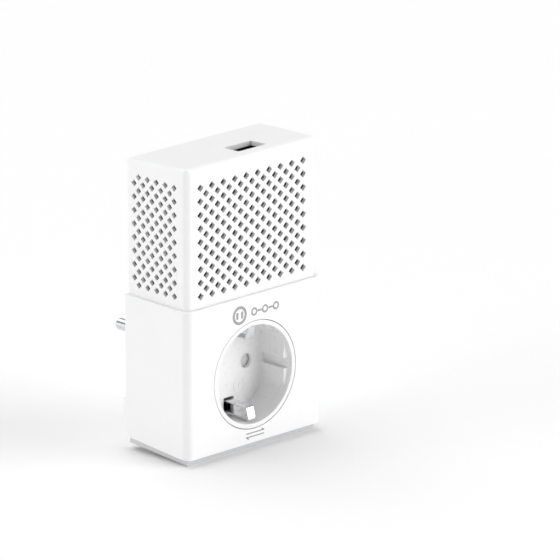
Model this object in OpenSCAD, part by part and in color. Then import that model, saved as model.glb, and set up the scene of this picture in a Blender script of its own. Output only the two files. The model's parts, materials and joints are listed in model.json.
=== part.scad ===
// Powerline network adapter with a pass-through mains socket.
// X runs to the right, -Y faces the room, +Y enters the wall outlet, Z is up.
// The origin is on the underside, below the centre of the whole part.

/* [Housing] */
// Width of the lower housing
body_w = 72.5; // [70:0.5:80]
// Depth of the lower housing, without the plug
body_d = 35.5; // [34:0.5:40]
// Overall height
total_h = 120; // [118:0.5:126]
// Height of the step between the two housings
step_z = 63.3; // [61:0.5:65]
// Ledge left in front of and beside the upper housing
ledge = 1.5; // [1.3:0.1:2.5]
// Ledge left behind the upper housing
back_ledge = 0.5; // [0.3:0.1:0.8]
// Radius of the upright front edges
edge_r = 3; // [2:0.5:4]
// Radius of the edges round the top face
top_r = 1.8; // [1:0.2:2.4]
// Height of the foot that shows below the lower housing, at the front
foot_h = 3; // [2.5:0.1:4]
// How much the underside rises from front to back
bottom_rise = 2.4; // [1:0.2:3]
// How much the top face falls from front to back
top_drop = 1.5; // [0:0.1:2]

/* [Grille] */
// Pitch of the front holes along a row
front_pitch = 6.08; // [5.8:0.02:6.2]
// Pitch of the side holes along a row
side_pitch = 5.02; // [4.8:0.02:5.2]
// Pitch of the rows
row_pitch = 5.45; // [5.2:0.05:5.5]
// Height of the top row
top_row_z = 111.6; // [110:0.2:112]
// Diagonal of one front hole
hole_diag = 3.2; // [2:0.1:3.4]
// Diagonal of one side hole
side_hole_diag = 2.9; // [2:0.1:3.2]

/* [Socket] */
// Height of the socket centre
socket_z = 30.6; // [29:0.2:32]
// Diameter of the recess
recess_dia = 40; // [39:0.5:41]
// Depth of the recess
recess_depth = 15; // [14:0.5:16]
// Spacing of the two live pin holes
pin_spacing = 19; // [19:1:19]
// Diameter of the pin holes
pin_hole_dia = 5.8; // [5.2:0.1:6]

/* [Plug] */
// Height of the plug centre
plug_z = 38; // [36:0.5:38.5]
// Diameter of the plug body
plug_dia = 37; // [36:0.5:38]
// Length of the plug body
plug_len = 14; // [12:0.5:16]
// Diameter of the plug pins
pin_dia = 4.8; // [4.8:0.1:4.8]
// Length of the plug pins
pin_len = 19; // [19:0.5:19]

/* [Part] */
// Sub-part to draw

/* [Hidden] */
$fn = 48;
eps = 0.01;

// Depth positions
overall_d = body_d + plug_len + pin_len;
yf = -overall_d / 2;              // front face of the lower housing
yb = yf + body_d;                 // back face of the lower housing
uyf = yf + ledge;                 // front face of the upper housing
uyb = yb - back_ledge;            // back face of the upper housing
yplug = yb + plug_len;            // face of the plug body
ytip = yplug + pin_len;           // tips of the pins

// Housing walls
wall = 1.4;
upper_wall = 1.6;
top_wall = 2;
rear_t = 2;
upper_w = body_w - 2 * ledge;
upper_d = uyb - uyf;
skirt_z = step_z - 7;
foot_in = 1.7;                    // how far the foot stands in from the housing
foot_back = foot_h + bottom_rise;  // height of the foot at the back
foot_top = foot_back + 2.2;
pad_x = 21;                       // half width of the flat pad it stands on
wx = body_w / 2;                  // outer side of the lower housing
ux = upper_w / 2;                 // outer side of the upper housing
rear_x = ux - upper_wall;         // edge of the upper part of the rear plate
rear_xl = wx - wall;              // edge of the lower part of the rear plate

// Socket
recess_r = recess_dia / 2;
ring_r = recess_r + 1.8;
cup_r = recess_r + 2.4;
floor_y = yf + recess_depth;
floor_t = 1.8;
cup_back = floor_y + floor_t;
flat_x = 17.3;
key_h = 4.2;                      // height of the groove in each flat
half_pins = pin_spacing / 2;
rotor_y = cup_back + 0.3;
rotor_t = 1.2;
rotor_r = 12.75;
rotor_turn = 40;                  // turn that opens the pin holes
contact_y = rotor_y + rotor_t + 0.3;
contact_r = 3.5;
contact_len = 9.5;

pin_neck_r = 1.9;                 // pin where it passes through the plug face
pin_gap = 0.2;                    // neck left showing at the plug face

// Ethernet port, in the top face
port_w = 14.8;
port_d = 8.7;
port_x = -1.35;
port_y = uyf + 6.1;
jack_w = 16;
jack_d = 13.2;
jack_x = port_x + (port_w - jack_w) / 2;
jack_y = port_y - 1.6;
jack_h = 20.5;
jack_top = total_h - top_wall - top_drop - 0.1;
jack_z = jack_top - jack_h;
cav_w = 11.8;
cav_x = port_x + (port_w - cav_w) / 2;
cav_d = 7;
cav_y = port_y + 0.5;
cav_floor = jack_z + 4.5;

// Boards
board_t = 1.6;
mb_y = jack_y + jack_d + 0.1;     // front face of the main board
mb_z = 80;
mb_top = jack_top - 0.5;
pb_y = uyb - rear_t - 3.4;        // front face of the power board
pb_z = 57;
pb_top = 115;
pb_x = 24;
board_fixings = [[-21, 60], [21, 60], [-19, 111], [19, 111]];
ui_x = 29;
ui_y0 = -14;
ui_y1 = -3;
ui_z0 = 13.9;
ui_z1 = 53.5;
ctl_y = -8.5;                     // depth of the side controls
pair_z = 24;
reset_z = 16.4;
led_z = 36;
led_step = 5;

module ngon_y(p, r, h, f = 48) translate(p) rotate([-90, 0, 0]) cylinder(r = r, h = h, $fn = f);
module ngon_x(p, r, h, f = 48) translate(p) rotate([0, 90, 0]) cylinder(r = r, h = h, $fn = f);
module block(x0, x1, y0, y1, z0, z1) translate([x0, y0, z0]) cube([x1 - x0, y1 - y0, z1 - z0]);

// Points of a rounded rectangle with its own radius at the low and the high y side
function arc(cx, cy, r, a0, n = 7) = [for (i = [0:n]) [cx + r * cos(a0 + 90 * i / n), cy + r * sin(a0 + 90 * i / n)]];
function outline(x0, x1, y0, y1, r0, r1) = concat(
  arc(x0 + r0, y0 + r0, r0, 180), arc(x1 - r0, y0 + r0, r0, 270),
  arc(x1 - r1, y1 - r1, r1, 0), arc(x0 + r1, y1 - r1, r1, 90));

// Profile whose heights fall towards the back with the top face
function leaning(pts) = [for (p = pts) [p[0], p[1] - top_drop * (p[0] - uyf) / upper_d]];

// Upright prism with that outline
module column(x0, x1, y0, y1, r0, r1, z0, z1)
  translate([0, 0, z0]) linear_extrude(height = z1 - z0) polygon(outline(x0, x1, y0, y1, r0, r1));
// Profile in x and z, run along y
module run_y(pts, y0, y1) translate([0, y1, 0]) rotate([90, 0, 0]) linear_extrude(height = y1 - y0) polygon(pts);
// Profile in y and z, run along x
module run_x(pts, x0, x1) translate([x0, 0, 0]) rotate([90, 0, 90]) linear_extrude(height = x1 - x0) polygon(pts);

// Rows of the grille: even rows hold n holes, odd rows one fewer, or the same set back half a pitch
module front_holes() {
  for (row = [0:16]) {
    n = row % 2 == 0 ? 10 : 9;
    for (i = [0:n - 1])
      translate([(i - (n - 1) / 2) * front_pitch, uyf + upper_wall / 2, top_row_z - row * row_pitch / 2])
        rotate([0, 45, 0]) cube([hole_diag / sqrt(2), upper_wall + 1, hole_diag / sqrt(2)], center = true);
  }
}
module side_holes(s) {
  for (row = [0:16], i = [0:4])
    translate([s * (ux - upper_wall / 2), uyf + 7.1 + i * side_pitch + (row % 2) * side_pitch / 2, top_row_z - row * row_pitch / 2])
      rotate([45, 0, 0]) cube([upper_wall + 1, side_hole_diag / sqrt(2), side_hole_diag / sqrt(2)], center = true);
}

// Solid of the upper housing with its rounded top edges
module upper_block() {
  intersection() {
    column(-ux, ux, uyf, uyb, edge_r, 0.8, skirt_z, total_h);
    run_y(outline(-ux, ux, skirt_z - 20, total_h, 1, top_r), uyf - 1, uyb + 1);
    run_x(leaning(outline(uyf, uyb, skirt_z - 20, total_h, 1, top_r)), -ux - 1, ux + 1);
  }
}

module upper_cover() color([0.93, 0.93, 0.93]) {
  difference() {
    upper_block();
    intersection() {
      column(-ux + upper_wall, ux - upper_wall, uyf + upper_wall, uyb + 5, edge_r - 1.2, 0.4, skirt_z - 1, total_h);
      run_x(leaning([[uyf, skirt_z - 2], [uyb + 5, skirt_z - 2], [uyb + 5, total_h - top_wall], [uyf, total_h - top_wall]]), -ux, ux);
    }
    front_holes();
    side_holes(-1);
    side_holes(1);
    block(port_x, port_x + port_w, port_y, port_y + port_d, total_h - top_wall - top_drop - 1, total_h + 1);
  }
  for (s = [-1, 1])
    difference() {
      union() {
        ngon_y([s * 30, uyb - rear_t - 9, 112.5], 2.7, 8.95);
        block(min(s * 30, s * (rear_x + 0.2)), max(s * 30, s * (rear_x + 0.2)), uyb - rear_t - 9, uyb - rear_t - 0.05, 111.7, 113.3);
      }
      ngon_y([s * 30, uyb - rear_t - 10, 112.5], 1.3, 12);
    }
}

module vent_liner() color([0.35, 0.35, 0.36]) {
  difference() {
    column(-ux + upper_wall + 0.15, ux - upper_wall - 0.15, uyf + upper_wall + 0.15, uyb - rear_t - 0.2, 1.5, 0.4, step_z + 1, jack_top);
    column(-ux + upper_wall + 0.65, ux - upper_wall - 0.65, uyf + upper_wall + 0.65, uyb + 5, 1, 0.4, step_z, total_h);
    // room for the screw bosses
    block(-ux, ux, uyb - rear_t - 9.3, uyb, 109.5, total_h);
  }
}

module lower_cover() color([0.95, 0.95, 0.95]) {
  difference() {
    intersection() {
      column(-wx, wx, yf, yb, edge_r + 0.5, 0.8, foot_h, step_z);
      run_x([[yf, foot_h], [yb, foot_back], [yb + 1, step_z + 1], [yf - 1, step_z + 1], [yf - 1, foot_h]], -wx - 1, wx + 1);
    }
    column(-wx + wall, wx - wall, yf + wall, yb + 5, edge_r - 0.1, 0.4, foot_h - 1, step_z + 1);
    ngon_y([0, yf - 1, socket_z], ring_r + 0.3, 4, 96);
    ngon_x([wx - 3, ctl_y, pair_z], 3.8, 6);
    ngon_x([wx - 3, ctl_y, reset_z], 0.8, 6, 24);
    for (i = [0:2]) ngon_x([wx - 3, ctl_y, led_z + i * led_step], 1.15, 6, 24);
  }
  for (s = [-1, 1])
    difference() {
      union() {
        ngon_y([s * 30.5, yb - rear_t - 10, 10.8], 2.7, 9.95);
        block(min(s * 30.5, s * (rear_xl + 0.2)), max(s * 30.5, s * (rear_xl + 0.2)), yb - rear_t - 10, yb - rear_t - 0.05, 10, 11.6);
      }
      ngon_y([s * 30.5, yb - rear_t - 11, 10.8], 1.3, 12);
    }
}

module bottom_cap() color([0.8, 0.8, 0.81]) {
  y0 = yf + foot_in;
  x0 = wx - foot_in;
  difference() {
    union() {
      intersection() {
        column(-x0, x0, y0, yb - 0.6, edge_r - 1, 0.6, 0, foot_top);
        run_y([[-x0 + 1, 0], [x0 - 1, 0], [x0, foot_h], [x0, foot_top], [-x0, foot_top], [-x0, foot_h]], y0 - 1, yb + 1);
        run_x([[y0 + 1, 0], [yb - 0.8, bottom_rise], [yb - 0.6, foot_back], [yb - 0.6, foot_top], [y0, foot_top], [y0, foot_h]], -x0 - 1, x0 + 1);
      }
      block(-pad_x, pad_x, y0 + 2, yb - 3, 0, foot_h);
    }
    column(-x0 + 1.8, x0 - 1.8, y0 + 1.8, yb - rear_t - 1.2, edge_r - 2, 0.6, foot_h + 1, foot_top + 1);
    block(-x0 - 1, x0 + 1, yb - rear_t - 0.05, yb + 1, foot_back - 0.05, foot_top + 1);
  }
}

module screw_seat(x, z, y) {
  ngon_y([x, y - rear_t - 1, z], 1.35, 5, 32);
  ngon_y([x, y - 1.3, z], 2.6, 3, 32);
}

module rear_cover() color([0.93, 0.93, 0.93]) {
  difference() {
    union() {
      block(-rear_xl + 0.05, rear_xl - 0.05, yb - rear_t, yb, foot_back, step_z);
      block(-rear_x + 0.05, rear_x - 0.05, uyb - rear_t, uyb, step_z - eps, jack_top);
      ngon_y([0, yb - eps, plug_z], plug_dia / 2, plug_len + eps, 96);
      // upright ribs that hold the back off the outlet
      for (s = [-1, 1]) block(s * 34 - 0.8, s * 34 + 0.8, yb - eps, yb + 2.4, 7, 20);
      for (p = board_fixings) ngon_y([p[0], pb_y + board_t + 0.02, p[1]], 2.4, 3, 32);
    }
    // hollow of the plug body
    ngon_y([0, yb - rear_t - 1, plug_z], plug_dia / 2 - 3, plug_len + rear_t - 1, 96);
    for (s = [-1, 1]) {
      ngon_y([s * half_pins, yplug - 3, plug_z], pin_neck_r + 0.02, 6);
      // grooves for the earth contacts
      block(-2.6, 2.6, yb - rear_t - 1, yplug - 1.2, plug_z + s * (plug_dia / 2 - 1.3) - 0.8, plug_z + s * (plug_dia / 2 - 1.3) + 0.8);
      block(-2.6, 2.6, yb + 2, yplug + 1, plug_z + s * (plug_dia / 2 - 0.8) - 1.3, plug_z + s * (plug_dia / 2 - 0.8) + 1.3);
      screw_seat(s * 30.5, 10.8, yb);
      screw_seat(s * 30, 112.5, uyb);
      // room for the skirt of the upper housing
      block(s > 0 ? rear_x - 0.05 : -rear_xl - 1, s > 0 ? rear_xl + 1 : -rear_x + 0.05, yb - rear_t - 1, uyb + 0.02, skirt_z - 0.05, step_z + 1);
    }
    for (p = board_fixings) ngon_y([p[0], pb_y, p[1]], 0.85, 4, 24);
    // bore for an outlet's own earth pin
    ngon_y([0, yplug - 3, plug_z - 10.4], 2.6, 6, 32);
  }
}

module socket_insert() color([0.96, 0.96, 0.96]) {
  difference() {
    union() {
      ngon_y([0, yf, socket_z], ring_r, wall + 0.2, 96);
      ngon_y([0, yf + wall + 0.1, socket_z], cup_r, cup_back - yf - wall - 0.1, 96);
    }
    difference() {
      ngon_y([0, yf - 1, socket_z], recess_r, recess_depth + 1, 96);
      for (s = [-1, 1])
        difference() {
          block(s > 0 ? flat_x : -recess_r - 1, s > 0 ? recess_r + 1 : -flat_x, yf + 2, floor_y + 1, socket_z - recess_r, socket_z + recess_r);
          block(s > 0 ? flat_x - 1 : -recess_r + 0.7, s > 0 ? recess_r - 0.7 : -flat_x + 1, yf, floor_y, socket_z - key_h / 2, socket_z + key_h / 2);
        }
    }
    for (s = [-1, 1]) {
      ngon_y([s * half_pins, floor_y - 1, socket_z], pin_hole_dia / 2, floor_t + 2);
      // slot for the earth clip
      block(-2.7, 2.7, floor_y - 1, cup_back + 1, socket_z + s * 16.1 - 3.2, socket_z + s * 16.1 + 3.2);
    }
    ngon_y([0, cup_back - 0.9, socket_z], 1.3, 3, 32);
  }
}

// Disc behind the pin holes; its own holes stand turned away from them at rest
module shutter_rotor() color([0.88, 0.88, 0.88]) {
  difference() {
    union() {
      ngon_y([0, rotor_y, socket_z], rotor_r, rotor_t, 96);
      ngon_y([0, cup_back - 0.7, socket_z], 1.25, 1.1, 32);
      ngon_y([0, rotor_y + rotor_t - eps, socket_z], 1.6, 2.2, 32);
    }
    for (s = [0, 180]) translate([0, 0, socket_z]) rotate([0, rotor_turn + s, 0])
      ngon_y([half_pins, rotor_y - 1, 0], pin_hole_dia / 2 + 0.1, rotor_t + 2);
  }
}

module shutter_spring() color([0.75, 0.75, 0.77]) {
  translate([0, rotor_y + rotor_t + 0.6, socket_z]) rotate([-90, 0, 0]) {
    rotate_extrude() translate([2.1, 0]) circle(r = 0.2, $fn = 16);
    rotate_extrude() translate([2.1, 0.5]) circle(r = 0.2, $fn = 16);
  }
}

// Bent strip seen from the side: out of its slot, over the nose and back along the recess wall
clip_w = 3.8;
clip_pts = [[floor_y + 3.4, -13.6], [floor_y - 10.9, -13.6], [floor_y - 12, -14.2], [floor_y - 13.2, -18.2],
  [floor_y - 13.2, -19], [floor_y + 1, -19], [floor_y + 1, -18.2], [floor_y - 12.2, -18.2],
  [floor_y - 11.3, -14.9], [floor_y - 10.8, -14.4], [floor_y + 3.4, -14.4]];
module earth_clip(s) color([0.8, 0.8, 0.82])
  translate([0, 0, socket_z]) scale([1, 1, -s]) run_x(clip_pts, -clip_w / 2, clip_w / 2);
module earth_clip_top() earth_clip(1);
module earth_clip_bottom() earth_clip(-1);

module earth_strap() color([0.78, 0.78, 0.8]) {
  for (s = [-1, 1])
    block(-2, 2, floor_y + 4, -5.2, socket_z + s * 14 - 0.4, socket_z + s * 14 + 0.4);
  block(-2, 2, -6, -5.2, plug_z - 17.6, plug_z + 17.6);
}

module plug_earth_contacts() color([0.8, 0.8, 0.82]) {
  for (s = [-1, 1]) {
    block(-2.4, 2.4, -5.15, yplug - 1.3, plug_z + s * 17.2 - 0.4, plug_z + s * 17.2 + 0.4);
    block(-2.4, 2.4, yb + 2.2, yplug - 1.3, plug_z + s * 17.9 - 0.5, plug_z + s * 17.9 + 0.5);
  }
}

module mains_contact(s) {
  difference() {
    ngon_y([s * half_pins, contact_y, socket_z], contact_r, contact_len);
    ngon_y([s * half_pins, contact_y - 1, socket_z], pin_dia / 2 + 0.1, contact_len + 0.2);
    block(s * half_pins - 0.4, s * half_pins + 0.4, contact_y - 1, contact_y + 7, socket_z, socket_z + 5);
  }
  block(s * half_pins - 1.5, s * half_pins + 1.5, contact_y + contact_len - 1, contact_y + contact_len, socket_z + 2, socket_z + 8);
  block(s * half_pins - 1.5, s * half_pins + 1.5, contact_y + contact_len - 1, yb + 2, socket_z + 7.1, socket_z + 8);
  block(s * half_pins - 2.6, s * half_pins + 2.6, yb + 1, yb + 2, plug_z - 2.6, plug_z + 2.6);
}
module live_contact() color([0.78, 0.66, 0.4]) mains_contact(1);
module neutral_contact() color([0.78, 0.66, 0.4]) mains_contact(-1);

module plug_pin(s) color([0.82, 0.82, 0.84]) {
  ngon_y([s * half_pins, yb + 2, plug_z], pin_neck_r, plug_len - 2 + pin_gap + eps);
  ngon_y([s * half_pins, yplug + pin_gap, plug_z], pin_dia / 2, pin_len - pin_gap - 1.4);
  translate([s * half_pins, ytip - 1.4, plug_z]) rotate([-90, 0, 0]) cylinder(r1 = pin_dia / 2, r2 = pin_dia / 2 - 1.1, h = 1.4);
  ngon_y([s * half_pins, yplug - 4.6, plug_z], pin_dia / 2 + 1.2, 1.5);
}
module plug_pin_left() plug_pin(-1);
module plug_pin_right() plug_pin(1);

module live_lead() color([0.45, 0.25, 0.15]) translate([half_pins, -2.9, socket_z + 8]) cylinder(r = 0.9, h = pb_z - socket_z - 8 - 0.05);
module neutral_lead() color([0.2, 0.35, 0.6]) translate([-half_pins, -2.9, socket_z + 8]) cylinder(r = 0.9, h = pb_z - socket_z - 8 - 0.05);

module power_board() color([0.75, 0.62, 0.3]) {
  difference() {
    block(-pb_x, pb_x, pb_y, pb_y + board_t, pb_z, pb_top);
    for (p = board_fixings) ngon_y([p[0], pb_y - 1, p[1]], 1.1, 4, 24);
  }
}
module main_board() color([0.1, 0.35, 0.2]) block(-30.5, 30.5, mb_y, mb_y + board_t, mb_z, mb_top);
module ui_board() color([0.1, 0.35, 0.2]) block(ui_x, ui_x + 1.2, ui_y0, ui_y1, ui_z0, ui_z1);
module ui_ribbon() color([0.8, 0.8, 0.78]) block(ui_x + 0.2, ui_x + 0.7, mb_y + board_t + 0.05, mb_y + board_t + 5, ui_z1 + 0.05, mb_z + 3);

module ethernet_jack() color([0.2, 0.2, 0.21]) {
  difference() {
    block(jack_x + 0.3, jack_x + jack_w - 0.3, jack_y + 0.3, jack_y + jack_d, jack_z, jack_top);
    block(cav_x, cav_x + cav_w, cav_y, cav_y + cav_d, cav_floor, jack_top + 1);
    // room behind the spring wires
    block(cav_x + 1.9, cav_x + cav_w - 1.9, cav_y + cav_d - 1, cav_y + cav_d + 2.2, cav_floor + 3.2, cav_floor + 9.9);
    // latch channel
    block(cav_x + 2.9, cav_x + cav_w - 2.9, cav_y - 1.1, cav_y + 1, cav_floor, jack_top + 1);
  }
}
module jack_shield() color([0.75, 0.75, 0.77]) {
  difference() {
    block(jack_x, jack_x + jack_w, jack_y, jack_y + jack_d, jack_z, jack_top);
    block(jack_x + 0.3, jack_x + jack_w - 0.3, jack_y + 0.3, jack_y + jack_d + 1, jack_z - 1, jack_top + 1);
  }
}
// Eight spring wires that lean out from the cavity's back wall
module jack_contacts() color([0.85, 0.7, 0.35]) {
  for (i = [0:7]) {
    x = cav_x + cav_w / 2 + (i - 3.5) * 1.02;
    run_x([[cav_y + cav_d, cav_floor + 9.4], [cav_y + cav_d - 1.9, cav_floor + 4.4], [cav_y + cav_d - 1.9, cav_floor + 3.9],
      [cav_y + cav_d - 1.5, cav_floor + 3.9], [cav_y + cav_d, cav_floor + 8.4]], x - 0.2, x + 0.2);
  }
}
module ethernet_magnetics() color([0.12, 0.12, 0.13]) block(-17, -5, mb_y - 6, mb_y - 0.05, 100, 112);
module network_chip() color([0.15, 0.15, 0.16]) block(-10, 4, mb_y - 1.1, mb_y - 0.05, 81, 94.5);
module memory_chip() color([0.15, 0.15, 0.16]) block(-28, -19, mb_y - 1.1, mb_y - 0.05, 84, 90);
module crystal() color([0.8, 0.8, 0.82]) block(10, 14, mb_y - 1.2, mb_y - 0.05, 84, 92);
module chip_heatsink() color([0.7, 0.7, 0.72]) {
  block(-11, 5, mb_y - 3, mb_y - 1.15, 80.5, 95.2);
  for (i = [0:5]) block(-11 + i * 3, -10 + i * 3, mb_y - 8, mb_y - 2.9, 80.5, 95.2);
}

module power_transformer() color([0.85, 0.75, 0.35]) {
  difference() {
    block(-8, 10, pb_y - 17, pb_y - 0.05, 60, 77);
    for (s = [-1, 1]) block(-9, 11, pb_y - 18, pb_y - 3, 68.5 + s * 8.5 - 3, 68.5 + s * 8.5 + 3);
  }
  block(-4.5, 6.5, pb_y - 15, pb_y - 5, 60.5, 76.5);
}
module bulk_capacitors() color([0.12, 0.15, 0.25]) {
  for (i = [0, 1]) ngon_y([-13.5, pb_y - 14, 64.6 + i * 9], 4.2, 13.95);
}
module filter_choke() color([0.7, 0.42, 0.2]) {
  translate([17.5, pb_y - 0.1, 69]) rotate([90, 0, 0]) difference() {
    cylinder(r = 5.2, h = 9);
    translate([0, 0, -1]) cylinder(r = 2.2, h = 12);
  }
}
module fuse() color([0.85, 0.85, 0.83]) translate([18, pb_y - 3.1, 84]) cylinder(r = 2.6, h = 18);
module varistor() color([0.2, 0.4, 0.75]) ngon_y([7, pb_y - 4.2, 90], 5, 4.15);

module pair_button() color([0.88, 0.88, 0.88]) {
  ngon_x([wx - 2.3, ctl_y, pair_z], 3.5, 2.8);
  ngon_x([wx - 2.9, ctl_y, pair_z], 4.6, 0.8);
}
module pair_switch() color([0.15, 0.15, 0.16]) difference() {
  block(ui_x + 1.25, ui_x + 3.4, ctl_y - 3, ctl_y + 3, pair_z - 3, pair_z + 3);
  ngon_x([ui_x + 2, ctl_y, pair_z], 1.4, 2);
}
module pair_plunger() color([0.7, 0.7, 0.7]) ngon_x([ui_x + 2.45, ctl_y, pair_z], 1.1, wx - 2.9 - 0.02 - ui_x - 2.45);
module reset_switch() color([0.15, 0.15, 0.16]) difference() {
  block(ui_x + 1.25, ui_x + 3.4, ctl_y - 2, ctl_y + 2, reset_z - 2, reset_z + 2);
  ngon_x([ui_x + 2, ctl_y, reset_z], 1, 2, 24);
}
module reset_plunger() color([0.7, 0.7, 0.7]) ngon_x([ui_x + 2.3, ctl_y, reset_z], 0.7, 1.8, 24);
module status_leds() color([0.9, 0.9, 0.85]) {
  for (i = [0:2]) block(ui_x + 1.25, ui_x + 2.2, ctl_y - 0.8, ctl_y + 0.8, led_z + i * led_step - 0.8, led_z + i * led_step + 0.8);
}
module light_pipes() color([0.95, 0.95, 0.92]) {
  for (i = [0:2]) {
    ngon_x([ui_x + 2.4, ctl_y, led_z + i * led_step], 1.05, wx - ui_x - 2.4, 24);
    ngon_x([wx - wall - 0.9, ctl_y, led_z + i * led_step], 1.9, 0.85, 24);
  }
}

module cover_screw(x, y, z) difference() {
  union() {
    ngon_y([x, y - 1.25, z], 2.4, 1.15, 32);
    ngon_y([x, y - 9, z], 1.22, 7.9, 32);
  }
  for (a = [0, 90]) translate([x, y, z]) rotate([0, a, 0]) cube([2.6, 1, 0.6], center = true);
}
module cover_screws() color([0.6, 0.6, 0.62]) {
  for (s = [-1, 1]) {
    cover_screw(s * 30.5, yb, 10.8);
    cover_screw(s * 30, uyb, 112.5);
  }
}
module board_screws() color([0.75, 0.75, 0.77]) {
  for (p = board_fixings) difference() {
    union() {
      ngon_y([p[0], pb_y - 1.35, p[1]], 2, 1.3, 32);
      ngon_y([p[0], pb_y - 0.1, p[1]], 0.8, 3.9, 24);
    }
    for (a = [0, 90]) translate([p[0], pb_y - 1.3, p[1]]) rotate([0, a, 0]) cube([2.2, 1, 0.5], center = true);
  }
}
module rating_label() color([0.8, 0.8, 0.8]) block(-17, 17, uyb + 0.01, uyb + 0.16, 70, 100);

upper_cover();
vent_liner();
lower_cover();
bottom_cap();
rear_cover();
socket_insert();
shutter_rotor();
shutter_spring();
earth_clip_top();
earth_clip_bottom();
earth_strap();
plug_earth_contacts();
live_contact();
neutral_contact();
plug_pin_left();
plug_pin_right();
live_lead();
neutral_lead();
power_board();
main_board();
ui_board();
ui_ribbon();
ethernet_jack();
jack_shield();
jack_contacts();
ethernet_magnetics();
network_chip();
memory_chip();
chip_heatsink();
crystal();
power_transformer();
bulk_capacitors();
filter_choke();
fuse();
varistor();
pair_button();
pair_switch();
pair_plunger();
reset_switch();
reset_plunger();
status_leds();
light_pipes();
cover_screws();
board_screws();
rating_label();
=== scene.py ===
"""Looks of the powerline adapter: materials, softened edges, printed marks, floor, light and camera."""
import json
import math

import bmesh
import bpy
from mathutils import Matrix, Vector


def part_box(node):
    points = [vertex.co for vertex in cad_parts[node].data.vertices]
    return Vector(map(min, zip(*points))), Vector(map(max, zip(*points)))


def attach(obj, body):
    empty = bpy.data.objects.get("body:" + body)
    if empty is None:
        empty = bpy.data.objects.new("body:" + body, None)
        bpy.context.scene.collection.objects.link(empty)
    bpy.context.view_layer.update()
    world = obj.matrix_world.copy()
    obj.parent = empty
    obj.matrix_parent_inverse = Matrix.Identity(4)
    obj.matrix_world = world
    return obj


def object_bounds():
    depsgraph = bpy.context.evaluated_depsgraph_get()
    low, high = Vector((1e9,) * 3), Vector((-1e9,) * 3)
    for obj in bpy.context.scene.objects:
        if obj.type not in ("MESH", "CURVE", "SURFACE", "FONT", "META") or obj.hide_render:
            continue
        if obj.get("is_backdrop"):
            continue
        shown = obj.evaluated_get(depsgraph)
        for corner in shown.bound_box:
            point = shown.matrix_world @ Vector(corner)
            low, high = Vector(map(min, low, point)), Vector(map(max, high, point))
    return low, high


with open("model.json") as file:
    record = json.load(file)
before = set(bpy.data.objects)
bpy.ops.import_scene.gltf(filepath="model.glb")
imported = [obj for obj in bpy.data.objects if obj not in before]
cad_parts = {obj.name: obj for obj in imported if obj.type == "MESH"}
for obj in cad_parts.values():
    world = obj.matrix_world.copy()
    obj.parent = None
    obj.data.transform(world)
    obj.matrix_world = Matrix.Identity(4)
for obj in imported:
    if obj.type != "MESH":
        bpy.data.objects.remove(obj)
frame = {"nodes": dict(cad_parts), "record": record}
cad_low, cad_high = (list(corner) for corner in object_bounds())

MM = 0.001
HOUSING = "housing"


# ---------------------------------------------------------------- materials

def shader(name):
    """A new material: its node tree and its Principled shader."""
    material = bpy.data.materials.new(name)
    material.use_nodes = True
    tree = material.node_tree
    return material, tree, tree.nodes["Principled BSDF"]


def coordinates(tree, scale=1.0):
    """Object coordinates, so a pattern keeps its size and stays on its piece."""
    source = tree.nodes.new("ShaderNodeTexCoord")
    mapping = tree.nodes.new("ShaderNodeMapping")
    mapping.inputs["Scale"].default_value = (scale, scale, scale)
    tree.links.new(source.outputs["Object"], mapping.inputs["Vector"])
    return mapping.outputs["Vector"]


def noise(tree, vector, scale, detail=3.0, roughness=0.55):
    node = tree.nodes.new("ShaderNodeTexNoise")
    node.inputs["Scale"].default_value = scale
    node.inputs["Detail"].default_value = detail
    node.inputs["Roughness"].default_value = roughness
    tree.links.new(vector, node.inputs["Vector"])
    return node.outputs["Fac"]


def span(tree, value, low, high, start=0.3, end=0.7):
    """value between start and end, remapped to low..high."""
    node = tree.nodes.new("ShaderNodeMapRange")
    node.inputs["From Min"].default_value = start
    node.inputs["From Max"].default_value = end
    node.inputs["To Min"].default_value = low
    node.inputs["To Max"].default_value = high
    tree.links.new(value, node.inputs["Value"])
    return node.outputs["Result"]


def blend_colours(tree, factor, first, second):
    node = tree.nodes.new("ShaderNodeMix")
    node.data_type = "RGBA"
    tree.links.new(factor, node.inputs["Factor"])
    for socket, colour in ((node.inputs["A"], first), (node.inputs["B"], second)):
        if isinstance(colour, bpy.types.NodeSocket):
            tree.links.new(colour, socket)
        else:
            socket.default_value = (*colour, 1.0)
    return node.outputs["Result"]


def bump(tree, bsdf, layers):
    """Stacks bumps: layers of (height, strength, distance in metres)."""
    previous = None
    for height, strength, distance in layers:
        node = tree.nodes.new("ShaderNodeBump")
        node.inputs["Strength"].default_value = strength
        node.inputs["Distance"].default_value = distance
        tree.links.new(height, node.inputs["Height"])
        if previous is not None:
            tree.links.new(previous, node.inputs["Normal"])
        previous = node.outputs["Normal"]
    tree.links.new(previous, bsdf.inputs["Normal"])


def shade(colour, factor):
    return tuple(min(1.0, c * factor) for c in colour)


def plastic(name, colour, rough, grain=0.12, grain_scale=2600, mottle=0.025, wear_tone=0.97, coat=0.0):
    """Moulded plastic: spark-eroded grain, uneven sheen, faint flow marks and handled patches."""
    material, tree, bsdf = shader(name)
    vector = coordinates(tree)
    broad = noise(tree, vector, 35, 4)
    middle = noise(tree, vector, 420, 3)
    fine = noise(tree, vector, grain_scale, 2)
    body = blend_colours(tree, span(tree, broad, 0, 1), shade(colour, 1 - mottle), colour)
    handled = span(tree, middle, 0, 0.35, 0.5, 0.8)
    toned = blend_colours(tree, handled, body, shade(colour, wear_tone))
    tree.links.new(toned, bsdf.inputs["Base Color"])
    tree.links.new(span(tree, middle, rough - 0.05, rough + 0.07), bsdf.inputs["Roughness"])
    bsdf.inputs["Coat Weight"].default_value = coat
    bsdf.inputs["Coat Roughness"].default_value = 0.25
    bump(tree, bsdf, [(fine, grain, 0.00004), (middle, grain * 0.4, 0.00005)])
    return material


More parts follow.
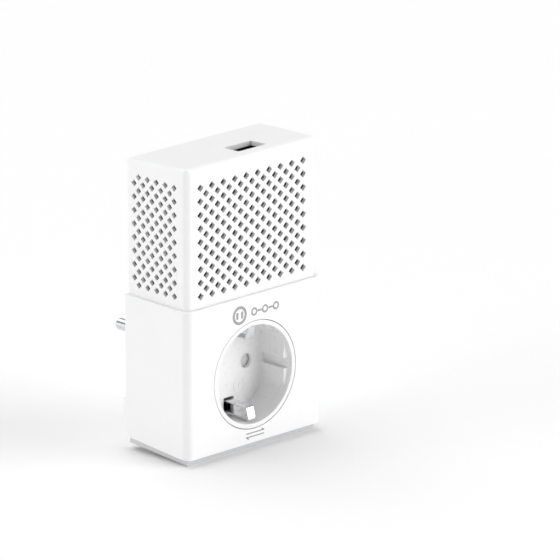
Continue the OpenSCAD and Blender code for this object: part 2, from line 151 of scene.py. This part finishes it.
def metal(name, colour, rough, brushed=0.0, tarnish=0.08):
    """Plated or bare metal: fine scratches along one direction, smudges and dull patches."""
    material, tree, bsdf = shader(name)
    vector = coordinates(tree)
    stretched = tree.nodes.new("ShaderNodeMapping")
    stretched.inputs["Scale"].default_value = (900, 60, 900)
    tree.links.new(vector, stretched.inputs["Vector"])
    scratch = noise(tree, stretched.outputs["Vector"], 1.6, 4, 0.7)
    smudge = noise(tree, vector, 260, 4)
    patch = span(tree, smudge, 0, 1, 0.42, 0.62)
    tree.links.new(blend_colours(tree, patch, colour, shade(colour, 1 - tarnish)), bsdf.inputs["Base Color"])
    tree.links.new(span(tree, smudge, rough, rough + 0.12), bsdf.inputs["Roughness"])
    bsdf.inputs["Metallic"].default_value = 1.0
    bump(tree, bsdf, [(scratch, 0.06 + brushed, 0.00003), (smudge, 0.05, 0.00004)])
    return material


def laminate(name, colour, trace):
    """Circuit board: solder mask over a weave, with tracks showing through."""
    material, tree, bsdf = shader(name)
    vector = coordinates(tree)
    cells = tree.nodes.new("ShaderNodeTexVoronoi")
    cells.distance = "MANHATTAN"
    cells.inputs["Scale"].default_value = 320
    tree.links.new(vector, cells.inputs["Vector"])
    tracks = span(tree, cells.outputs["Distance"], 0, 1, 0.42, 0.46)
    tree.links.new(blend_colours(tree, tracks, colour, trace), bsdf.inputs["Base Color"])
    weave = noise(tree, vector, 3000, 1)
    tree.links.new(span(tree, weave, 0.3, 0.45), bsdf.inputs["Roughness"])
    bump(tree, bsdf, [(tracks, 0.2, 0.00003), (weave, 0.1, 0.00003)])
    return material


def film(name, colour, rough):
    """Printed label or tape: smooth film with a slight orange peel."""
    material, tree, bsdf = shader(name)
    vector = coordinates(tree)
    peel = noise(tree, vector, 700, 2)
    tone = noise(tree, vector, 60, 3)
    printed = blend_colours(tree, span(tree, tone, 0, 1), colour, shade(colour, 0.95))
    tree.links.new(printed, bsdf.inputs["Base Color"])
    tree.links.new(span(tree, peel, rough - 0.06, rough + 0.06), bsdf.inputs["Roughness"])
    bump(tree, bsdf, [(peel, 0.08, 0.00004)])
    return material


def frosted(name, colour):
    """Light pipe: milky clear plastic."""
    material, tree, bsdf = shader(name)
    vector = coordinates(tree)
    cloud = noise(tree, vector, 500, 3)
    milky = blend_colours(tree, span(tree, cloud, 0, 1), colour, shade(colour, 0.9))
    tree.links.new(milky, bsdf.inputs["Base Color"])
    tree.links.new(span(tree, cloud, 0.28, 0.45), bsdf.inputs["Roughness"])
    bsdf.inputs["Transmission Weight"].default_value = 0.35
    bsdf.inputs["Subsurface Weight"].default_value = 0.2
    bsdf.inputs["Subsurface Radius"].default_value = (0.001, 0.001, 0.001)
    bump(tree, bsdf, [(cloud, 0.08, 0.00004)])
    return material


WHITE = (0.88, 0.88, 0.885)
GREY_INK = (0.34, 0.34, 0.35)

looks = {
    "shell": plastic("satin_white_shell", WHITE, 0.42),
    # The liner sheet behind the vent holes is an insulating barrier; its near-black colour is painted shade
    # for the dark inside of the holes.
    "liner": plastic("vent_liner_painted_shade", (0.05, 0.05, 0.053), 0.7, grain=0.3, grain_scale=1800),
    "foot": plastic("pale_grey_foot", (0.62, 0.62, 0.63), 0.5, grain=0.2),
    "insert": plastic("socket_white", (0.865, 0.865, 0.865), 0.3, grain=0.06, coat=0.15),
    "shutter": plastic("shutter_grey", (0.74, 0.74, 0.74), 0.38, grain=0.08),
    "spring": metal("spring_steel", (0.72, 0.72, 0.74), 0.22),
    "bright": metal("nickel_plate", (0.74, 0.74, 0.76), 0.17),
    "contact": metal("contact_brass", (0.8, 0.62, 0.3), 0.2),
    "wire_live": plastic("live_sleeve", (0.3, 0.13, 0.05), 0.5, grain=0.1),
    "wire_neutral": plastic("neutral_sleeve", (0.05, 0.16, 0.5), 0.5, grain=0.1),
    "board_tan": laminate("mains_laminate", (0.6, 0.42, 0.16), (0.66, 0.48, 0.2)),
    "board_green": laminate("signal_laminate", (0.03, 0.17, 0.07), (0.06, 0.26, 0.12)),
    "ribbon": film("ribbon_film", (0.72, 0.72, 0.7), 0.35),
    "black_plastic": plastic("black_moulding", (0.025, 0.025, 0.028), 0.45, grain=0.25, wear_tone=1.3),
    "tin": metal("tinned_steel", (0.7, 0.7, 0.71), 0.25, brushed=0.05),
    "alloy": metal("milled_alloy", (0.66, 0.66, 0.68), 0.3, brushed=0.1),
    "tape": film("yellow_tape", (0.78, 0.58, 0.12), 0.4),
    "cap_sleeve": film("capacitor_sleeve", (0.03, 0.05, 0.16), 0.3),
    "copper": metal("enamelled_copper", (0.75, 0.34, 0.14), 0.25),
    "ceramic": plastic("glazed_ceramic", (0.8, 0.78, 0.72), 0.2, grain=0.03, coat=0.4),
    "blue_coat": plastic("dipped_coating", (0.03, 0.14, 0.55), 0.35, grain=0.1),
    "button": plastic("button_white", (0.8, 0.8, 0.81), 0.34, grain=0.08),
    "led": plastic("led_resin", (0.85, 0.82, 0.6), 0.2, grain=0.02, coat=0.5),
    "clear": frosted("frosted_pipe", (0.85, 0.88, 0.86)),
    "screw": metal("zinc_screw", (0.5, 0.5, 0.52), 0.32, brushed=0.08),
    "label": film("silver_label", (0.66, 0.67, 0.68), 0.35),
}
ink = film("grey_ink", GREY_INK, 0.5)


# ---------------------------------------------------------------- edges

def rounding_nodes():
    """Geometry nodes that shade a mesh smooth but keep its real corners crisp."""
    group = bpy.data.node_groups.new("smooth_by_angle", "GeometryNodeTree")
    group.interface.new_socket("Geometry", in_out="INPUT", socket_type="NodeSocketGeometry")
    group.interface.new_socket("Geometry", in_out="OUTPUT", socket_type="NodeSocketGeometry")
    source = group.nodes.new("NodeGroupInput")
    target = group.nodes.new("NodeGroupOutput")
    faces = group.nodes.new("GeometryNodeSetShadeSmooth")
    faces.domain = "FACE"
    faces.inputs["Shade Smooth"].default_value = True
    edges = group.nodes.new("GeometryNodeSetShadeSmooth")
    edges.domain = "EDGE"
    edges.inputs["Shade Smooth"].default_value = False
    angle = group.nodes.new("GeometryNodeInputMeshEdgeAngle")
    compare = group.nodes.new("FunctionNodeCompare")
    compare.operation = "GREATER_THAN"
    compare.inputs["B"].default_value = math.radians(40)
    group.links.new(source.outputs[0], faces.inputs["Geometry"])
    group.links.new(angle.outputs["Unsigned Angle"], compare.inputs["A"])
    group.links.new(compare.outputs["Result"], edges.inputs["Selection"])
    group.links.new(faces.outputs["Geometry"], edges.inputs["Geometry"])
    group.links.new(edges.outputs["Geometry"], target.inputs[0])
    return group


def cleaning_nodes():
    """Geometry nodes that join a CAD mesh's split corners and drop its stored normals."""
    group = bpy.data.node_groups.new("join_corners", "GeometryNodeTree")
    group.interface.new_socket("Geometry", in_out="INPUT", socket_type="NodeSocketGeometry")
    group.interface.new_socket("Geometry", in_out="OUTPUT", socket_type="NodeSocketGeometry")
    source = group.nodes.new("NodeGroupInput")
    target = group.nodes.new("NodeGroupOutput")
    drop = group.nodes.new("GeometryNodeRemoveAttribute")
    drop.inputs["Name"].default_value = "custom_normal"
    merge = group.nodes.new("GeometryNodeMergeByDistance")
    merge.inputs["Distance"].default_value = 0.002 * MM
    group.links.new(source.outputs[0], drop.inputs["Geometry"])
    group.links.new(drop.outputs["Geometry"], merge.inputs["Geometry"])
    group.links.new(merge.outputs["Geometry"], target.inputs[0])
    return group


SMOOTH = rounding_nodes()
CLEAN = cleaning_nodes()


def soften(piece, width, segments=3, from_cad=True):
    """Gives a piece the small radius every moulded or stamped edge has."""
    if from_cad:
        piece.modifiers.new("join", "NODES").node_group = CLEAN
    if width:
        bevel = piece.modifiers.new("edge_radius", "BEVEL")
        bevel.width = width * MM
        bevel.segments = segments
        bevel.limit_method = "ANGLE"
        bevel.angle_limit = math.radians(32)
        bevel.use_clamp_overlap = not from_cad
        bevel.miter_outer = "MITER_ARC"
    piece.modifiers.new("smooth", "NODES").node_group = SMOOTH
    normals = piece.modifiers.new("even_normals", "WEIGHTED_NORMAL")
    normals.keep_sharp = True
    normals.weight = 80


# In mm. It is 0 on the covers whose large faces a bevel would break up.
EDGE_RADIUS = {"upper_cover": 0.14, "lower_cover": 0, "bottom_cap": 0, "rear_cover": 0,
               "socket_insert": 0.25, "shutter_rotor": 0.1, "earth_clip_top": 0.16,
               "earth_clip_bottom": 0.16, "plug_pin_left": 0.25, "plug_pin_right": 0.25,
               "pair_button": 0.12, "cover_screws": 0.08, "ethernet_jack": 0.12,
               "jack_shield": 0.08, "light_pipes": 0.1, "plug_earth_contacts": 0.15}
DEFAULT_RADIUS = 0.06

slot_of = {entry["node"]: entry["material_slot"] for entry in frame["record"]["subparts"]}
for node, piece in frame["nodes"].items():
    for slot in piece.material_slots:
        slot.material = looks[slot_of[node]]
    soften(piece, EDGE_RADIUS.get(node, DEFAULT_RADIUS), 3 if node in EDGE_RADIUS else 2)


# ---------------------------------------------------------------- printed and raised marks

def mesh_piece(name, bm, material, body, radius=0.0):
    mesh = bpy.data.meshes.new(name)
    bmesh.ops.recalc_face_normals(bm, faces=bm.faces)
    bm.to_mesh(mesh)
    bm.free()
    piece = bpy.data.objects.new(name, mesh)
    bpy.context.scene.collection.objects.link(piece)
    piece.data.materials.append(material)
    soften(piece, radius, 2, from_cad=False)
    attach(piece, body)
    return piece


def ring_2d(cx, cz, outer, inner, steps=40):
    """Outer and inner loop of a ring in the plane of a face."""
    turn = [2 * math.pi * i / steps for i in range(steps)]
    return ([(cx + outer * math.cos(a), cz + outer * math.sin(a)) for a in turn],
            [(cx + inner * math.cos(a), cz + inner * math.sin(a)) for a in turn])


def pill_2d(x0, z0, x1, z1, width, steps=8):
    """Outline of a bar with round ends from one point to another."""
    angle = math.atan2(z1 - z0, x1 - x0)
    half = width / 2
    points = []
    for cx, cz, start in ((x1, z1, angle - math.pi / 2), (x0, z0, angle + math.pi / 2)):
        points += [(cx + half * math.cos(start + math.pi * i / steps),
                    cz + half * math.sin(start + math.pi * i / steps)) for i in range(steps + 1)]
    return points


def add_solid(bm, outline, to_space, depth):
    """Extrudes an outline, or an (outer, inner) pair of loops, off a face."""
    ring = isinstance(outline, tuple)
    outer = outline[0] if ring else outline
    loops = [outline[0], outline[1]] if ring else [outline]
    made = []
    for loop in loops:
        made.append([[bm.verts.new(to_space(u, v, h)) for u, v in loop] for h in (0.0, depth)])
    count = len(outer)
    for base, top in made:
        for i in range(count):
            j = (i + 1) % count
            bm.faces.new((base[i], base[j], top[j], top[i]))
    for level in (0, 1):
        if ring:
            for i in range(count):
                j = (i + 1) % count
                bm.faces.new((made[0][level][i], made[0][level][j], made[1][level][j], made[1][level][i]))
        else:
            bm.faces.new(made[0][level])


def marks(name, outlines, to_space, depth, material, radius=0.0):
    bm = bmesh.new()
    for outline in outlines:
        add_solid(bm, outline, to_space, depth)
    return mesh_piece(name, bm, material, HOUSING, radius)


lower_low, lower_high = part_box("lower_cover")
INK = 0.02          # thickness of printed ink, mm
SUNK = 0.01         # how far the ink bites into the plastic, mm


def front(u, v, h):
    """A point on the lower housing's front face: u right, v up, h out, in mm."""
    return Vector((u * MM, lower_low[1] + (SUNK - h) * MM, v * MM))


def right_side(u, v, h):
    """A point on the lower housing's right face: u towards the back, v up, h out, in mm."""
    return Vector((lower_high[0] + (h - SUNK) * MM, u * MM, v * MM))


EMBLEM_Z = 56.4
PLUG_X = -8.2       # centre of the socket pictogram
SLOT = 1.3          # its two slots stand this far either side
LINK_X = (-0.4, 5.4, 11.2)
LINK_RADIUS = 1.7
BAR_GAP = 0.4       # gap between a linked ring and its bar
socket_mark = [ring_2d(PLUG_X, EMBLEM_Z, 3.8, 2.6)]
socket_mark += [pill_2d(PLUG_X + side * SLOT, EMBLEM_Z - 0.9, PLUG_X + side * SLOT, EMBLEM_Z + 0.9, 1.2)
                for side in (-1, 1)]
link_mark = [ring_2d(x, EMBLEM_Z, LINK_RADIUS, 0.9, 28) for x in LINK_X]
link_mark += [pill_2d(x + LINK_RADIUS + BAR_GAP, EMBLEM_Z, following - LINK_RADIUS - BAR_GAP, EMBLEM_Z, 0.8)
              for x, following in zip(LINK_X, LINK_X[1:])]
marks("front_emblem", socket_mark + link_mark, front, INK + SUNK, ink)

ARROW_Z = 6.3
arrows = []
for way, level in ((1, 0.75), (-1, -0.75)):
    z = ARROW_Z + level
    arrows += [pill_2d(-4.6, z, 4.6, z, 0.5),
               pill_2d(way * 4.6, z, way * 3.6, z + 0.7 * level / 0.75, 0.5)]
marks("exchange_arrows", arrows, front, INK + SUNK, ink)

pipe_low, pipe_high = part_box("light_pipes")
button_low, button_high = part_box("pair_button")
control_y = (button_low[1] + button_high[1]) / 2 / MM
icon_y = control_y - 4.6
led_mid = (pipe_low[2] + pipe_high[2]) / 2 / MM
led_gap = ((pipe_high[2] - pipe_low[2]) / MM - 3.8) / 2
button_z = (button_low[2] + button_high[2]) / 2 / MM
side_icons = [ring_2d(icon_y, led_mid + led_gap, 1.1, 0.75, 24),
              pill_2d(icon_y - 0.9, led_mid, icon_y + 0.9, led_mid, 0.4),
              pill_2d(icon_y - 0.9, led_mid - 0.8, icon_y + 0.9, led_mid - 0.8, 0.4),
              pill_2d(icon_y - 0.9, led_mid + 0.8, icon_y + 0.9, led_mid + 0.8, 0.4)]
for side in (-1, 1):
    side_icons.append(pill_2d(icon_y, led_mid - led_gap + 0.9 * side,
                              icon_y + 0.9, led_mid - led_gap - 0.6, 0.4))
marks("status_icons", side_icons, right_side, INK + SUNK, ink)


def on_button(u, v, h):
    return Vector((button_high[0] + (h - SUNK) * MM, u * MM, v * MM))


bm = bmesh.new()
add_solid(bm, ring_2d(control_y, button_z, 1.5, 1.1, 32), on_button, INK + SUNK)
add_solid(bm, ring_2d(control_y, button_z, 0.45, 0.1, 20), on_button, INK + SUNK)
mesh_piece("button_mark", bm, ink, "pair_cap")

insert_low, insert_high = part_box("socket_insert")
socket_z = (insert_low[2] + insert_high[2]) / 2 / MM
FLOOR_DEPTH = 15.0


def recess_floor(u, v, h):
    return Vector((u * MM, insert_low[1] + (FLOOR_DEPTH + 0.02 - h) * MM, v * MM))


symbol_x, symbol_z = 5.5, socket_z - 9.2
symbol = [ring_2d(symbol_x, symbol_z, 3.0, 2.5),
          pill_2d(symbol_x, symbol_z - 1.1, symbol_x, symbol_z + 1.5, 0.5)]
marks("moulded_symbol", symbol, recess_floor, 0.17, looks["insert"], 0.04)


# ---------------------------------------------------------------- floor, light, camera

def sun(name, towards, strength, softness):
    """A broad, even lamp, shining from the direction named."""
    light = bpy.data.lights.new(name, "SUN")
    light.energy = strength
    light.angle = math.radians(softness)
    lamp = bpy.data.objects.new(name, light)
    lamp.rotation_euler = Vector(towards).to_track_quat("Z", "Y").to_euler()
    bpy.context.scene.collection.objects.link(lamp)


floor_bm = bmesh.new()
bmesh.ops.create_circle(floor_bm, cap_ends=True, segments=96, radius=12)
floor_mesh = bpy.data.meshes.new("studio_floor")
floor_bm.to_mesh(floor_mesh)
floor_bm.free()
floor = bpy.data.objects.new("studio_floor", floor_mesh)
floor.location.z = cad_low[2] - 0.02 * MM
bpy.context.scene.collection.objects.link(floor)
floor_material, floor_tree, floor_bsdf = shader("pale_floor")
floor_noise = noise(floor_tree, coordinates(floor_tree), 3, 4)
floor_tree.links.new(span(floor_tree, floor_noise, 0.75, 0.85), floor_bsdf.inputs["Roughness"])
floor_bsdf.inputs["Base Color"].default_value = (0.93, 0.93, 0.93, 1)
floor_mesh.materials.append(floor_material)
floor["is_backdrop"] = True

scene = bpy.context.scene
world = bpy.data.worlds.new("studio")
world.use_nodes = True
sky = world.node_tree
direction = sky.nodes.new("ShaderNodeTexCoord")
split = sky.nodes.new("ShaderNodeSeparateXYZ")
sky.links.new(direction.outputs["Generated"], split.inputs["Vector"])
height = span(sky, split.outputs["Z"], 0, 1, 0.12, 0.3)
sky_colour = blend_colours(sky, height, (1.0, 1.0, 1.0), (0.27, 0.27, 0.27))
sky.links.new(sky_colour, sky.nodes["Background"].inputs["Color"])
sky.nodes["Background"].inputs["Strength"].default_value = 1.0
scene.world = world
scene.view_settings.view_transform = "Standard"

sun("key_light", (0.6, -0.8, 0.3), 2.1, 50)
sun("left_light", (-0.9, 0.3, 0.3), 1.0, 50)
sun("top_light", (0.0, 0.35, 0.9), 1.62, 60)

AZIMUTH, ELEVATION = math.radians(-43.85), math.radians(17.36)
DISTANCE = 2.690
back = Vector((math.sin(AZIMUTH) * math.cos(ELEVATION),
               -math.cos(AZIMUTH) * math.cos(ELEVATION),
               math.sin(ELEVATION)))
aim = Vector((13.45 * MM, lower_low[1], 66.2 * MM))
camera_data = bpy.data.cameras.new("camera")
camera_data.sensor_width = 36
camera_data.lens = 444.5
camera_data.clip_end = 100
camera = bpy.data.objects.new("camera", camera_data)
camera.location = aim + back * DISTANCE
camera.rotation_euler = back.to_track_quat("Z", "Y").to_euler()
scene.collection.objects.link(camera)
scene.camera = camera
